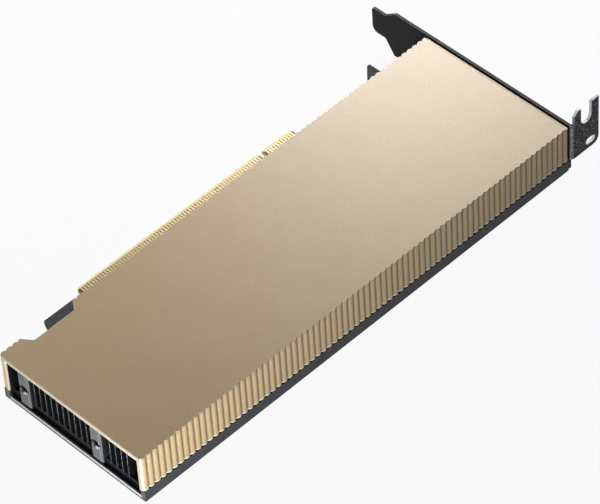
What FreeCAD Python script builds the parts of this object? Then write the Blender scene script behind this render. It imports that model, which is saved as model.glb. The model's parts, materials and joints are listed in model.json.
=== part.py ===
import FreeCAD, Part
import math
import os

from FreeCAD import Vector

# Passive, single-slot, low-profile accelerator card, all sizes in millimetres.
#
# The card lies on the flat underside of its base tray, shroud upwards.  +X runs along the card
# from the open tail end to the mounting bracket, +Y points to the edge connector and +Z is up.
# The origin is the centre of the base tray's underside.

# ---------------------------------------------------------------- card envelope
card_length = 169.0        # shroud and base tray, tail end to bracket end
card_width = 56.4          # over the crests of the flutes
card_height = 17.6         # underside of the tray to the face of the shroud

tail_x = -card_length / 2
head_x = card_length / 2
top_y = -card_width / 2    # fluted long side away from the connector
conn_y = card_width / 2    # long side of the shroud beside the connector

# ---------------------------------------------------------------- circuit board
board_thickness = 1.57
board_gap = 0.8            # room for solder joints between the tray floor and the board
board_edge_gap = 0.2       # between the board and the tray walls
board_tail_gap = 1.6       # tail end of the tray to the tail edge of the board
board_head_gap = 0.6
board_reach = 4.25         # how far the board's long edge stands out past the shroud

tab_reach = 8.35           # contact tab, past the board's long edge
tab_end_x = 39.6           # bracket side end of the contact tab, from the centre of the card
short_row_count = 11       # contacts on the bracket side of the key
long_row_count = 71
contact_pitch = 1.0
contact_width = 0.7
contact_length = 4.6
contact_thickness = 0.05
row_margin = 0.825         # centre of a row's last contact to the end of the tab
key_width = 1.9
key_depth = 7.65
tab_bevel_length = 0.9
tab_bevel_height = 0.35
tab_corner_cut = 0.6

hook_gap = 3.3             # between the contact tab and the retention hook
hook_length = 11.4
hook_reach = 5.85          # past the board's long edge
hook_stem = 4.6
hook_toe = 4.0             # width of the toe that the slot's latch holds
hook_ramp = 1.7            # slope of the toe's end

leg_reach = 10.15          # small leg of the board beside the bracket
leg_width = 8.3
leg_flat = 1.1
leg_from_head = 9.7        # bracket end of the shroud to the leg's nearer edge

# ---------------------------------------------------------------- base tray
tray_floor = 1.5
tray_wall = 1.3
tray_inset = 0.1           # the shroud's flutes overhang the tray by this much
tray_top_chamfer = 0.5     # along the tail edge, inside and underneath
tray_low_chamfer = 0.25
tray_corner_wall = 2.0     # wall beside the board's tail corner, on the connector side
tray_pad_rim = 1.15        # width of the raised ring round each screw hole
film_thickness = 0.2
film_clearance = 0.3

board_bottom_z = tray_floor + board_gap
board_top_z = board_bottom_z + board_thickness

# ---------------------------------------------------------------- shroud
shroud_wall = 2.3
shroud_roof = 2.2
flute_pitch_wanted = 2.2
flute_depth = 0.55
mouth_chamfer = 0.5
shadow_gap_height = 0.5    # dark gap between the flutes and the tray
shadow_gap_depth = 1.1
lip_length = 0.7           # step across the face beside the bracket
lip_depth = 0.5
boss_radius = 1.8          # screw bosses inside the long walls
boss_thread_depth = 6.0

latch_start = 7.6          # relief for the slot's latch, from the tail end
latch_length = 19.9
latch_depth = 3.4
latch_slope = 2.45

shroud_bottom_z = board_top_z
roof_z = card_height - shroud_roof
inner_top_y = top_y + shroud_wall
inner_conn_y = conn_y - shroud_wall

# ---------------------------------------------------------------- screws: (tap, clearance, head) radii
M2 = (0.8, 1.15, 1.9)
M25 = (1.0, 1.4, 2.35)
tail_tap = 1.25            # radius of the M3 thread for an extender bracket
head_recess = 0.15         # flat heads sit this far below the tray's underside
socket_depth = 0.5
socket_share = 0.5         # socket radius as a share of the head radius

cover_screw_length = 8.9
boss_y_inset = 1.9         # wall face to the centre of a boss
cover_screw_inset = 14.0   # from both ends
cover_screw_after_latch = 17.0

# ---------------------------------------------------------------- threaded posts at both ends
post_width = 4.15
post_length = 7.0
post_tail_gap = 0.3
post_roof_gap = 0.15
post_chamfer = 0.5
post_apron = 1.1           # front lip that hangs down before the board's edge
post_from_top = 16.8       # inner face of the shroud's wall to the centre of a post
post_from_conn = 6.1
thread_z = 8.9
thread_depth = 5.5
thread_countersink = 0.5
post_screw_inset = 4.5     # open face of a post to the screw that holds it down
post_screw_length = 6.9

# ---------------------------------------------------------------- bracket, a folded steel sheet
sheet = 0.86
bracket_gap = 0.4          # shroud to bracket
bracket_height = 80.0      # tab to the tip of the tongue
bracket_width = 17.5       # its upper edge is nearly flush with the shroud's face
bracket_low_z = 0.3
bend_radius = 0.2          # inner radius
tab_overhang = 0.8         # the tab stands out past the flutes by this much
body_end = 71.3            # tab to where the lower sloping edge towards the tongue starts
shoulder_lead = 1.0        # the upper sloping edge starts this much nearer to the tab
tongue_width = 9.3
tongue_low_z = 5.4
tongue_slope = 3.5
tongue_shoulder = 4.4
tongue_round_low = 2.2
tongue_round_high = 1.0
tab_depth = 11.43          # bracket's card side to the end of the tab
tab_low_z = 4.35
tab_high_z = 22.3
tab_round = 2.4
notch_width = 4.4
notch_centre = 6.1         # bracket's card side to the centre of the notch
notch_depth = 6.8
prong_chamfer = 1.4
keyhole_length = 3.8
keyhole_width = 2.3
keyhole_centre = (7.9, 2.75)   # from the bracket's card side and from the tab's lower edge
vent_width = 2.6
vent_height = 9.6
vent_pitch = 4.2
vent_margin = 4.0          # from the ends of the air channel
vent_low_z = 4.6
bracket_screw_length = 5.0
bracket_head_recess = 0.05
bracket_head_clearance = 0.05

bracket_x = head_x + bracket_gap
tab_y = top_y - tab_overhang

# ---------------------------------------------------------------- cooler
package_size = 35.0
package_height = 1.2
package_corner = 1.0
die_size = (20.0, 15.0)
die_height = 0.75
paste_height = 0.13
ring_width = 3.0
ring_height = 0.5

memory_size = (14.0, 12.0)
memory_height = 1.1
memory_gap = 5.0           # package to the memory chips on each side
memory_pitch_wanted = 14.0
memory_pocket_gap = 1.0    # memory chips to the pocket over the power parts

sink_gap_top = 4.05        # shroud wall to the fins: the screw bosses stand in this channel
sink_gap_conn = 5.45
sink_tail_gap = 10.0
sink_head_gap = 8.0
sink_top = 2.65            # thickness of the base plate over the processor
fin_thickness = 0.5
fin_pitch = 2.32
fin_flange = 0.3
fin_flange_gap = 0.1
fin_roof_gap = 0.2
fin_tail_gap = 0.6
fin_tail_clearance = 0.95  # over the board, where the fins run past the base plate
post_clearance = 0.4
post_side_clearance = 1.3

standoff_radius = 1.75
cooler_screw_gap = 2.1     # end of the package to the centre of a screw
cooler_screw_inset = 2.0   # from the long edges of the heat sink
cooler_screw_length = 7.2
cooler_thread_depth = 3.8

sink_bottom_z = board_top_z + package_height + die_height + paste_height
sink_top_z = sink_bottom_z + sink_top

# ---------------------------------------------------------------- power supply under the cooler
phase_pitch_wanted = 8.6
inductor_size = 7.0
inductor_height = 3.0
inductor_from_head = (39.0, 9.0)   # columns, measured back from the heat sink's bracket end
pad_height = 0.5
stage_size = (5.0, 6.0)
stage_height = 0.9
stage_from_head = (30.5, 17.5)
stage_pad_height = 0.8
capacitor_size = (4.3, 7.3)
capacitor_height = 1.9
capacitor_from_head = 24.0
part_chamfer = 0.4
power_pocket_length = 45.5 # the base plate is thinner over this length

# ---------------------------------------------------------------- small chips near the tail
controller_size = (10.0, 10.0, 1.0)
controller_place = (17.5, 18.4)    # from the tail end and the sink's connector side
firmware_size = (8.0, 6.0, 0.9)
firmware_place = (17.5, 7.0)
crystal_size = (2.5, 3.2, 0.8)
crystal_place = (9.8, 14.4)


# ================================================================ helpers
def box(x0, x1, y0, y1, z0, z1):
    """A block between two corners."""
    return Part.makeBox(x1 - x0, y1 - y0, z1 - z0, Vector(x0, y0, z0))


def disc(x, y, z0, z1, radius):
    """An upright cylinder."""
    return Part.makeCylinder(radius, z1 - z0, Vector(x, y, z0))


def rod(x0, x1, y, z, radius):
    """A cylinder along +X."""
    return Part.makeCylinder(radius, x1 - x0, Vector(x0, y, z), Vector(1, 0, 0))


def prism(points, direction):
    """A flat outline, given by its corners, swept along a vector."""
    wire = Part.makePolygon(list(points) + [points[0]])
    return Part.Face(wire).extrude(direction)


def fuse_all(shapes):
    """One solid from pieces that overlap or touch."""
    return shapes[0].multiFuse(shapes[1:]).removeSplitter()


def cut_all(body, tools):
    """The body with every tool taken away from it."""
    return body.cut(Part.makeCompound(tools))


def block(centre, size, z0, height):
    """A chip standing on z0 with its plan centred on a point."""
    x, y = centre
    length, width = size
    return box(x - length / 2, x + length / 2, y - width / 2, y + width / 2, z0, z0 + height)


def spread(low, high, pitch_wanted):
    """Evenly spaced places from low to high, both included, about a wanted pitch apart."""
    gaps = max(1, round((high - low) / pitch_wanted))
    return [low + (high - low) * k / gaps for k in range(gaps + 1)]


def chamfered(shape, size, keep_edge):
    """The shape with the edges that keep_edge picks chamfered."""
    return shape.makeChamfer(size, [e for e in shape.Edges if keep_edge(e)])


def on_plane(edge, axis, value):
    """True where the whole edge lies on the plane axis = value."""
    low = getattr(edge.BoundBox, axis + "Min")
    high = getattr(edge.BoundBox, axis + "Max")
    return abs(low - value) < 1e-6 and abs(high - value) < 1e-6


def upright(edge):
    """True for an edge that runs along Z."""
    return edge.BoundBox.ZLength > 1e-6 and edge.BoundBox.XLength + edge.BoundBox.YLength < 1e-6


# ================================================================ places of the screws
def cover_screw_places():
    """Centres of the screws that hold the shroud, on both long sides."""
    first = tail_x + cover_screw_inset
    last = head_x - cover_screw_inset
    after_latch = tail_x + latch_start + latch_length + cover_screw_after_latch
    top = [(x, inner_top_y + boss_y_inset) for x in (first, (first + last) / 2, last)]
    conn = [(x, inner_conn_y - boss_y_inset)
            for x in (after_latch, (after_latch + last) / 2, last)]
    return top + conn


def post_centres():
    """Y of the two posts at each end."""
    return [inner_top_y + post_from_top, inner_conn_y - post_from_conn]


def post_screw_places():
    """Centres of the screws under the four posts."""
    tail = [(tail_x + post_tail_gap + post_screw_inset, y) for y in post_centres()]
    head = [(bracket_x - post_screw_inset, y) for y in post_centres()]
    return tail + head


def cooler_screw_places():
    """Centres of the four screws round the processor."""
    middle = package_centre()[0]
    reach = package_size / 2 + cooler_screw_gap
    return [(x, y) for x in (middle - reach, middle + reach)
            for y in (sink_low_y + cooler_screw_inset, sink_high_y - cooler_screw_inset)]


def all_screws():
    """Every upright screw as (place, size)."""
    small = [(place, M2) for place in cover_screw_places() + post_screw_places()]
    return small + [(place, M25) for place in cooler_screw_places()]


def flat_head_screw(place, size, length):
    """A countersunk screw driven upwards through the tray."""
    x, y = place
    tap, clearance, head = size
    cone = Part.makeCone(head, tap, head - tap, Vector(x, y, head_recess))
    shank = disc(x, y, head_recess, head_recess + length, tap)
    socket_radius = head * socket_share
    corners = [Vector(x + socket_radius * math.cos(math.radians(60 * k)),
                      y + socket_radius * math.sin(math.radians(60 * k)),
                      head_recess) for k in range(6)]
    socket = prism(corners, Vector(0, 0, socket_depth))
    return fuse_all([cone, shank]).cut(socket)


def screw_hole_through(place, size, z0, z1):
    """Clearance hole for an upright screw."""
    return disc(place[0], place[1], z0, z1, size[1])


def countersink(place, size):
    """Seat of a flat head in the tray's underside."""
    x, y = place
    tap, clearance, head = size
    well = disc(x, y, 0, head_recess, head)
    cone = Part.makeCone(head, clearance, head - clearance, Vector(x, y, head_recess))
    return fuse_all([well, cone])


# ================================================================ circuit board
board_edge_y = conn_y + board_reach
tab_tip_y = board_edge_y + tab_reach
short_length = (short_row_count - 1) * contact_pitch + 2 * row_margin
long_length = (long_row_count - 1) * contact_pitch + 2 * row_margin
key_end_x = tab_end_x - short_length
long_end_x = key_end_x - key_width
tab_start_x = long_end_x - long_length
board_top_edge_y = top_y + tray_inset + tray_wall + board_edge_gap


def board_outline():
    """Plan of the board, anticlockwise from the tail corner far from the connector."""
    tail = tail_x + board_tail_gap
    head = head_x - board_head_gap
    corner_x = tail_x + latch_start
    corner_y = conn_y - tray_inset - tray_corner_wall - board_edge_gap
    hook_start = tab_start_x - hook_gap
    hook_end = hook_start - hook_length
    hook_tip_y = board_edge_y + hook_reach
    toe_y = hook_tip_y - hook_toe
    leg_start = head_x - leg_from_head
    leg_tip_y = board_edge_y + leg_reach
    leg_slope = leg_width - leg_flat
    cut = tab_corner_cut
    return [
        (tail, board_top_edge_y),
        (head, board_top_edge_y),
        (head, board_edge_y),
        (leg_start, board_edge_y),
        (leg_start, leg_tip_y),
        (leg_start - leg_flat, leg_tip_y),
        (leg_start - leg_width, leg_tip_y - leg_slope),
        (leg_start - leg_width, board_edge_y),
        (tab_end_x, board_edge_y),
        (tab_end_x, tab_tip_y - cut),
        (tab_end_x - cut, tab_tip_y),
        (tab_start_x + cut, tab_tip_y),
        (tab_start_x, tab_tip_y - cut),
        (tab_start_x, board_edge_y),
        (hook_start, board_edge_y),
        (hook_start, hook_tip_y),
        (hook_end, hook_tip_y),
        (hook_end - hook_ramp, toe_y),
        (hook_start - hook_stem, toe_y),
        (hook_start - hook_stem, board_edge_y),
        (corner_x + board_edge_y - corner_y, board_edge_y),
        (corner_x, corner_y),
        (tail, corner_y),
    ]


def board_prism(z0, z1):
    """The board's plan as a block between two heights."""
    return prism([Vector(x, y, z0) for x, y in board_outline()], Vector(0, 0, z1 - z0))


def key_slot():
    """The connector key, a slot with a round end."""
    radius = key_width / 2
    centre_x = key_end_x - radius
    floor_y = tab_tip_y - key_depth + radius
    slot = box(long_end_x, key_end_x, floor_y, tab_tip_y, board_bottom_z, board_top_z)
    return fuse_all([slot, disc(centre_x, floor_y, board_bottom_z, board_top_z, radius)])


def tab_bevels():
    """The two wedges cut from the contact tab's tip."""
    wedges = []
    for z, side in ((board_top_z, -1), (board_bottom_z, 1)):
        corners = [Vector(tab_start_x, tab_tip_y - tab_bevel_length, z),
                   Vector(tab_start_x, tab_tip_y, z),
                   Vector(tab_start_x, tab_tip_y, z + side * tab_bevel_height)]
        wedges.append(prism(corners, Vector(tab_end_x - tab_start_x, 0, 0)))
    return wedges


def circuit_board():
    """Board with contact tab, key, retention hook, leg and screw holes."""
    holes = [screw_hole_through(place, size, board_bottom_z, board_top_z)
             for place, size in all_screws()]
    return cut_all(board_prism(board_bottom_z, board_top_z), holes + [key_slot()] + tab_bevels())


def edge_contacts(z0, z1):
    """Gold contacts of both rows on one face of the tab."""
    tip_y = tab_tip_y - tab_bevel_length
    starts = [(tab_end_x - row_margin, short_row_count), (long_end_x - row_margin, long_row_count)]
    strips = []
    for first, count in starts:
        for k in range(count):
            x = first - k * contact_pitch
            strips.append(box(x - contact_width / 2, x + contact_width / 2,
                              tip_y - contact_length, tip_y, z0, z1))
    return Part.makeCompound(strips)


# ================================================================ base tray
def base_tray():
    """Black tray under the board: floor, two low walls and a raised ring round each screw."""
    low_y = top_y + tray_inset
    high_y = conn_y - tray_inset
    floor = box(tail_x, head_x, low_y, high_y, 0, tray_floor)
    floor = chamfered(floor, tray_top_chamfer,
                      lambda e: on_plane(e, "X", tail_x) and on_plane(e, "Z", tray_floor))
    walls = [box(tail_x, head_x, low_y, low_y + tray_wall, 0, board_top_z),
             box(tail_x, head_x, high_y - tray_corner_wall, high_y, 0, board_top_z)]
    rings = [disc(place[0], place[1], 0, board_bottom_z, size[1] + tray_pad_rim)
             for place, size in all_screws()]
    tray = fuse_all([floor] + walls + rings)
    outline = [Vector(x, y, board_bottom_z) for x, y in board_outline()]
    face = Part.Face(Part.makePolygon(outline + [outline[0]]))
    room = face.makeOffset2D(board_edge_gap, 2).extrude(Vector(0, 0, board_thickness))
    holes = []
    for place, size in all_screws():
        holes.append(screw_hole_through(place, size, 0, board_bottom_z))
        holes.append(countersink(place, size))
    tray = cut_all(tray.cut(room), holes)
    return chamfered(tray, tray_low_chamfer,
                     lambda e: on_plane(e, "X", tail_x) and on_plane(e, "Z", 0))


def insulating_film():
    """Thin film on the tray floor, cut out round the raised rings."""
    low_y = top_y + tray_inset + tray_wall + film_clearance
    high_y = conn_y - tray_inset - tray_corner_wall - film_clearance
    film = box(tail_x + board_tail_gap, head_x - board_head_gap, low_y, high_y,
               tray_floor, tray_floor + film_thickness)
    holes = [disc(place[0], place[1], tray_floor, tray_floor + film_thickness,
                  size[1] + tray_pad_rim + film_clearance) for place, size in all_screws()]
    return cut_all(film, holes)


# ================================================================ shroud
def fluted_edge(x0, x1, groove_y, outward):
    """Half-round flutes along one long side, from x0 to x1, as a list of arcs."""
    count = max(1, round(abs(x1 - x0) / flute_pitch_wanted))
    step = (x1 - x0) / count
    crest_y = groove_y + outward * flute_depth
    arcs = []
    for k in range(count):
        start = x0 + k * step
        arcs.append(Part.Arc(Vector(start, groove_y, shroud_bottom_z),
                             Vector(start + step / 2, crest_y, shroud_bottom_z),
                             Vector(start + step, groove_y, shroud_bottom_z)).toShape())
    return arcs


def latch_relief():
    """Face of the trapezium that is taken out of the connector side for the slot's latch."""
    start = tail_x + latch_start
    end = start + latch_length
    corners = [Vector(start, conn_y, shroud_bottom_z),
               Vector(start + latch_slope, conn_y - latch_depth, shroud_bottom_z),
               Vector(end - latch_slope, conn_y - latch_depth, shroud_bottom_z),
               Vector(end, conn_y, shroud_bottom_z)]
    return Part.Face(Part.makePolygon(corners + [corners[0]]))


def wall_bosses():
    """Screw bosses, each joined to its wall by a web as wide as the boss."""
    bosses = []
    for x, y in cover_screw_places():
        wall_y = top_y + shadow_gap_depth if y < 0 else conn_y - shadow_gap_depth
        bosses.append(disc(x, y, shroud_bottom_z, roof_z, boss_radius))
        bosses.append(box(x - boss_radius, x + boss_radius, min(y, wall_y), max(y, wall_y),
                          shroud_bottom_z, roof_z))
    return bosses


def shroud():
    """Cover machined from one channel: fluted outside, open at both ends and below."""
    low = top_y + flute_depth
    high = conn_y - flute_depth
    ends = [Part.LineSegment(Vector(head_x, low, shroud_bottom_z),
                             Vector(head_x, high, shroud_bottom_z)).toShape(),
            Part.LineSegment(Vector(tail_x, high, shroud_bottom_z),
                             Vector(tail_x, low, shroud_bottom_z)).toShape()]
    edges = fluted_edge(tail_x, head_x, low, -1)
    edges.append(ends[0])
    edges += fluted_edge(head_x, tail_x, high, 1)
    edges.append(ends[1])
    height = card_height - shroud_bottom_z
    body = Part.Face(Part.Wire(edges)).extrude(Vector(0, 0, height))
    relief = latch_relief()
    body = body.cut(relief.extrude(Vector(0, 0, height)))

    cavity = box(tail_x, head_x, inner_top_y, inner_conn_y, shroud_bottom_z, roof_z)
    bulge = relief.makeOffset2D(shroud_wall, 2).extrude(Vector(0, 0, roof_z - shroud_bottom_z))
    body = body.cut(cavity.cut(bulge))

    def mouth_edge(edge):
        inside = (edge.BoundBox.YMin > inner_top_y - 1e-6
                  and edge.BoundBox.YMax < inner_conn_y + 1e-6
                  and edge.BoundBox.ZMax < roof_z + 1e-6)
        return on_plane(edge, "X", tail_x) and inside and not on_plane(edge, "Z", shroud_bottom_z)

    body = chamfered(body, mouth_chamfer, mouth_edge)
    lip = box(head_x - lip_length, head_x, top_y, conn_y, card_height - lip_depth, card_height)
    gaps = [box(tail_x, head_x, top_y, top_y + shadow_gap_depth,
                shroud_bottom_z, shroud_bottom_z + shadow_gap_height),
            box(tail_x, head_x, conn_y - shadow_gap_depth, conn_y,
                shroud_bottom_z, shroud_bottom_z + shadow_gap_height)]
    body = fuse_all([cut_all(body, [lip] + gaps)] + wall_bosses())
    threads = [disc(x, y, shroud_bottom_z, shroud_bottom_z + boss_thread_depth, M2[0])
               for x, y in cover_screw_places()]
    return cut_all(body, threads)


# ================================================================ posts
def end_post(face_x, inward, y, low_z, tap, mouth_radius):
    """Threaded post; its open face is at face_x and its body reaches inward (+1 or -1)."""
    back_x = face_x + inward * post_length
    lip_x = face_x + inward * post_apron
    top_z = roof_z - post_roof_gap
    low_y, high_y = y - post_width / 2, y + post_width / 2
    post = box(min(face_x, back_x), max(face_x, back_x), low_y, high_y, board_top_z, top_z)
    if low_z < board_top_z:
        lip = box(min(face_x, lip_x), max(face_x, lip_x), low_y, high_y, low_z, board_top_z)
        post = fuse_all([post, lip])
    post = chamfered(post, post_chamfer, lambda e: on_plane(e, "X", face_x))

    end_x = face_x + inward * thread_depth
    thread = rod(min(face_x, end_x), max(face_x, end_x), y, thread_z, tap)
    mouth = Part.makeCone(mouth_radius, tap, mouth_radius - tap,
                          Vector(face_x, y, thread_z), Vector(inward, 0, 0))
    screw_x = face_x + inward * post_screw_inset
    foot_hole = disc(screw_x, y, board_top_z, head_recess + post_screw_length, M2[0])
    return cut_all(post, [thread, mouth, foot_hole])


def tail_post(y):
    """Tail post; its front lip hangs down before the board's edge."""
    return end_post(tail_x + post_tail_gap, 1, y, board_bottom_z, tail_tap,
                    tail_tap + thread_countersink)


def bracket_post(y):
    """Post that carries one bracket screw, whose flat head reaches into the post's mouth."""
    tap, clearance, head = M25
    mouth_radius = head - (sheet - bracket_head_recess) + bracket_head_clearance
    return end_post(bracket_x, -1, y, board_top_z, tap, mouth_radius)


# ================================================================ bracket
def bracket_body():
    """Flat body and tongue of the bracket."""
    tip_y = tab_y + bracket_height
    start_y = tab_y + bend_radius + sheet
    slope_y = tab_y + body_end
    low_z = bracket_low_z
    high_z = bracket_low_z + bracket_width
    tongue_high_z = tongue_low_z + tongue_width
    corners = [
        (start_y, low_z),
        (slope_y, low_z),
        (slope_y + tongue_slope, tongue_low_z),
        (tip_y, tongue_low_z),
        (tip_y, tongue_high_z),
        (slope_y - shoulder_lead + tongue_shoulder, tongue_high_z),
        (slope_y - shoulder_lead, high_z),
        (start_y, high_z),
    ]
    body = prism([Vector(bracket_x, y, z) for y, z in corners], Vector(sheet, 0, 0))

    def tip_edge(z):
        return [e for e in body.Edges if on_plane(e, "Y", tip_y) and on_plane(e, "Z", z)]

    body = body.makeFillet(tongue_round_low, tip_edge(tongue_low_z))
    return body.makeFillet(tongue_round_high, tip_edge(tongue_high_z))


def bracket_bend():
    """Quarter bend between body and tab, over the height that both share."""
    outer = bend_radius + sheet
    centre = Vector(bracket_x + outer, tab_y + outer, tab_low_z)
    height = bracket_low_z + bracket_width - tab_low_z
    ring = Part.makeCylinder(outer, height, centre, Vector(0, 0, 1), 90)
    core = Part.makeCylinder(bend_radius, height, centre, Vector(0, 0, 1), 90)
    bend = ring.cut(core)
    bend.rotate(centre, Vector(0, 0, 1), 180)
    return bend


def bracket_tab():
    """Tab with the screw notch, the two prongs and the small slotted hole."""
    x0 = bracket_x + bend_radius + sheet
    x1 = bracket_x + tab_depth
    corners = [(x0, tab_low_z), (x1, tab_low_z), (x1, tab_high_z),
               (x0 + prong_chamfer, tab_high_z), (x0, tab_high_z - prong_chamfer)]
    tab = prism([Vector(x, tab_y, z) for x, z in corners], Vector(0, sheet, 0))
    outer = [e for e in tab.Edges if on_plane(e, "X", x1) and on_plane(e, "Z", tab_low_z)]
    tab = tab.makeFillet(tab_round, outer)

    along = Vector(0, 1, 0)
    radius = notch_width / 2
    notch_x = bracket_x + notch_centre
    notch_z = tab_high_z - notch_depth + radius
    notch = fuse_all([box(notch_x - radius, notch_x + radius, tab_y, tab_y + sheet,
                          notch_z, tab_high_z),
                      Part.makeCylinder(radius, sheet, Vector(notch_x, tab_y, notch_z), along)])
    hole_x = bracket_x + keyhole_centre[0]
    hole_z = tab_low_z + keyhole_centre[1]
    half = (keyhole_length - keyhole_width) / 2
    radius = keyhole_width / 2
    hole = fuse_all([box(hole_x - half, hole_x + half, tab_y, tab_y + sheet,
                         hole_z - radius, hole_z + radius)]
                    + [Part.makeCylinder(radius, sheet, Vector(x, tab_y, hole_z), along)
                       for x in (hole_x - half, hole_x + half)])
    return cut_all(tab, [notch, hole])


def vent_slot(y):
    """One upright slot with round ends."""
    radius = vent_width / 2
    z0 = vent_low_z + radius
    z1 = vent_low_z + vent_height - radius
    slot = box(bracket_x, bracket_x + sheet, y - radius, y + radius, z0, z1)
    rounds = [rod(bracket_x, bracket_x + sheet, y, z, radius) for z in (z0, z1)]
    return fuse_all([slot] + rounds)


def vent_places():
    """Slots spread over the air channel, left out where a post stands behind the bracket."""
    low = inner_top_y + vent_margin
    high = inner_conn_y - vent_margin
    count = int((high - low) / vent_pitch) + 1
    first = (low + high - (count - 1) * vent_pitch) / 2
    keep_out = post_width / 2 + vent_width / 2 + post_side_clearance / 2
    places = [first + k * vent_pitch for k in range(count)]
    return [y for y in places if min(abs(y - post) for post in post_centres()) > keep_out]


def bracket_cone(y, tip_radius):
    """Countersunk head of a bracket screw, or its seat, from the outer face inwards."""
    tap, clearance, head = M25
    face_x = bracket_x + sheet - bracket_head_recess
    return Part.makeCone(head, tip_radius, head - tip_radius, Vector(face_x, y, thread_z),
                         Vector(-1, 0, 0))


def bracket():
    """Whole bracket with vents and countersunk screw holes."""
    body = fuse_all([bracket_body(), bracket_bend(), bracket_tab()])
    holes = []
    for y in post_centres():
        holes.append(bracket_cone(y, M25[0]))
        holes.append(rod(bracket_x + sheet - bracket_head_recess, bracket_x + sheet,
                         y, thread_z, M25[2]))
    return cut_all(body, holes + [vent_slot(y) for y in vent_places()])


def bracket_screw(y):
    """Flat-head screw through the bracket into a post, flush with the bracket's face."""
    tap, clearance, head = M25
    face_x = bracket_x + sheet - bracket_head_recess
    shank = rod(face_x - bracket_screw_length, face_x, y, thread_z, tap)
    radius = head * socket_share
    corners = [Vector(face_x, y + radius * math.cos(math.radians(60 * k)),
                      thread_z + radius * math.sin(math.radians(60 * k))) for k in range(6)]
    return fuse_all([shank, bracket_cone(y, tap)]).cut(prism(corners, Vector(-socket_depth, 0, 0)))


# ================================================================ cooler
sink_low_y = inner_top_y + sink_gap_top
sink_high_y = inner_conn_y - sink_gap_conn
sink_start_x = tail_x + sink_tail_gap
sink_end_x = head_x - sink_head_gap
power_pocket_x = sink_end_x - power_pocket_length
stage_top_z = board_top_z + stage_height + stage_pad_height
inductor_top_z = board_top_z + inductor_height + pad_height


def phase_centres(from_head):
    """Centres of the power parts in one column, spread over the width of the heat sink."""
    places = spread(sink_low_y + inductor_size / 2, sink_high_y - inductor_size / 2,
                    phase_pitch_wanted)
    return [(sink_end_x - from_head, y) for y in places]


def memory_reach():
    """Centre of the processor to a column of memory chips."""
    return package_size / 2 + memory_gap + memory_size[0] / 2


def package_centre():
    """Centre of the processor, from the pocket over the power parts."""
    memory_x = power_pocket_x - memory_pocket_gap - memory_size[0] / 2
    return memory_x - memory_reach(), (sink_low_y + sink_high_y) / 2


def memory_centres():
    """Centres of the memory chips, one column on each side of the processor."""
    middle = package_centre()[0]
    half = memory_size[1] / 2
    places = spread(sink_low_y + half, sink_high_y - half, memory_pitch_wanted)
    return [(x, y) for x in (middle - memory_reach(), middle + memory_reach()) for y in places]


def heatsink_base():
    """Base plate with a pocket over the power parts, two bars in it and four standoffs."""
    plate = box(sink_start_x, sink_end_x, sink_low_y, sink_high_y, sink_bottom_z, sink_top_z)
    pocket = box(power_pocket_x, sink_end_x, sink_low_y, sink_high_y,
                 sink_bottom_z, inductor_top_z)
    plate = plate.cut(pocket)
    half = stage_size[0] / 2
    bars = [box(sink_end_x - back - half, sink_end_x - back + half, sink_low_y, sink_high_y,
                stage_top_z, sink_top_z) for back in stage_from_head]
    posts = [disc(x, y, board_top_z, sink_top_z, standoff_radius)
             for x, y in cooler_screw_places()]
    threads = [disc(x, y, board_top_z, board_top_z + cooler_thread_depth, M25[0])
               for x, y in cooler_screw_places()]
    return cut_all(fuse_all([plate] + bars + posts), threads)


def fin_places():
    """Y of the middle of each fin, spread evenly over the heat sink."""
    room = sink_high_y - sink_low_y - fin_thickness
    count = int(room / fin_pitch) + 1
    first = (sink_low_y + sink_high_y - (count - 1) * fin_pitch) / 2
    return [first + k * fin_pitch for k in range(count)]


def cooling_fin(y, flanged):
    """One stamped fin: a plate with a flange folded over at its top and its foot."""
    top_z = roof_z - fin_roof_gap
    low_z = board_top_z + fin_tail_clearance
    behind_post = any(abs(y - post) < post_width / 2 + post_side_clearance
                      for post in post_centres())
    start_x = tail_x + fin_tail_gap
    if behind_post:
        start_x = tail_x + post_tail_gap + post_length + post_clearance
    step_x = sink_start_x - fin_flange_gap
    y0 = y - fin_thickness / 2
    corners = [(start_x, low_z), (step_x, low_z), (step_x, sink_top_z),
               (sink_end_x, sink_top_z), (sink_end_x, top_z), (start_x, top_z)]
    plate = prism([Vector(x, y0, z) for x, z in corners], Vector(0, fin_thickness, 0))
    if not flanged:
        return plate
    y1 = y0 + fin_pitch - fin_flange_gap
    y_mid = y0 + fin_thickness
    top = box(start_x, sink_end_x, y_mid, y1, top_z - fin_flange, top_z)
    foot = box(sink_start_x, sink_end_x, y_mid, y1, sink_top_z, sink_top_z + fin_flange)
    return fuse_all([plate, top, foot])


def cooling_fins():
    """The whole row of fins; the last one has no neighbour to reach to."""
    places = fin_places()
    return Part.makeCompound([cooling_fin(y, y < places[-1]) for y in places])


# ================================================================ parts on the board
def processor_package():
    """Substrate of the processor with its corners cut."""
    chip = block(package_centre(), (package_size, package_size), board_top_z, package_height)
    return chamfered(chip, package_corner, upright)


def package_ring():
    """Stiffening frame round the die."""
    z = board_top_z + package_height
    inner = package_size - 2 * ring_width
    outer = block(package_centre(), (package_size, package_size), z, ring_height)
    outer = chamfered(outer, package_corner, upright)
    return outer.cut(block(package_centre(), (inner, inner), z, ring_height))


def processor_die():
    """Bare silicon die."""
    return block(package_centre(), die_size, board_top_z + package_height, die_height)


def thermal_paste():
    """Paste between die and base plate."""
    z = board_top_z + package_height + die_height
    return block(package_centre(), die_size, z, paste_height)


def group(centres, size, z0, height):
    """Like chips at several places, each its own solid."""
    return Part.makeCompound([block(c, size, z0, height) for c in centres])


def memory_chips():
    """Memory packages beside the processor."""
    return group(memory_centres(), memory_size, board_top_z, memory_height)


def memory_pads():
    """Soft pads that fill the space up to the base plate."""
    z = board_top_z + memory_height
    return group(memory_centres(), memory_size, z, sink_bottom_z - z)


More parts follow.
